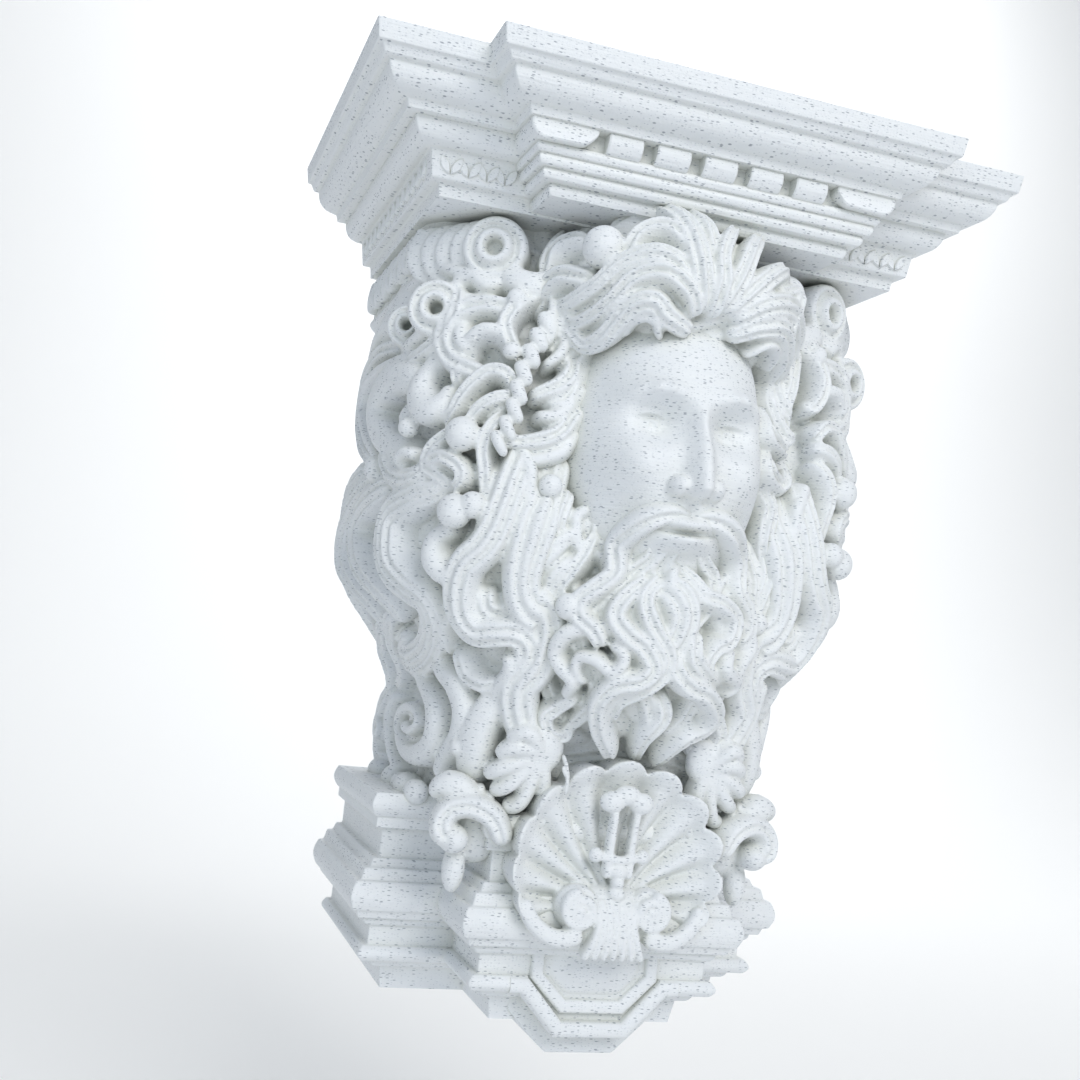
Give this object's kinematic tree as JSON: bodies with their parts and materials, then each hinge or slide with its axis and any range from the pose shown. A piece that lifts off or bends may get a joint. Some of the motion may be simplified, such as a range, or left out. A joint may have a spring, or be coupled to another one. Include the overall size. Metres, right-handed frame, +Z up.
{
  "type": "ornamental corbel with a bearded head",
  "caption": "Wall corbel with a moulded cornice top, a bearded head among wavy locks and scrolls, a shell and a moulded base, cut flat at the back.",
  "frame": {"origin": "middle of the flat back, half way up between the cornice's top and the base's bottom band", "axes": "+Z up, +Y into the wall, +X to the right of someone facing the corbel, so the face looks along -Y"},
  "size_m": [0.12, 0.0864, 0.1644],
  "materials": {
    "marble_plastic": "matte white marble-effect print plastic with fine dark blue-grey flecks lying along the layers"
  },
  "bodies": {
    "root": {"corbel": "marble_plastic"}
  },
  "joints": []
}
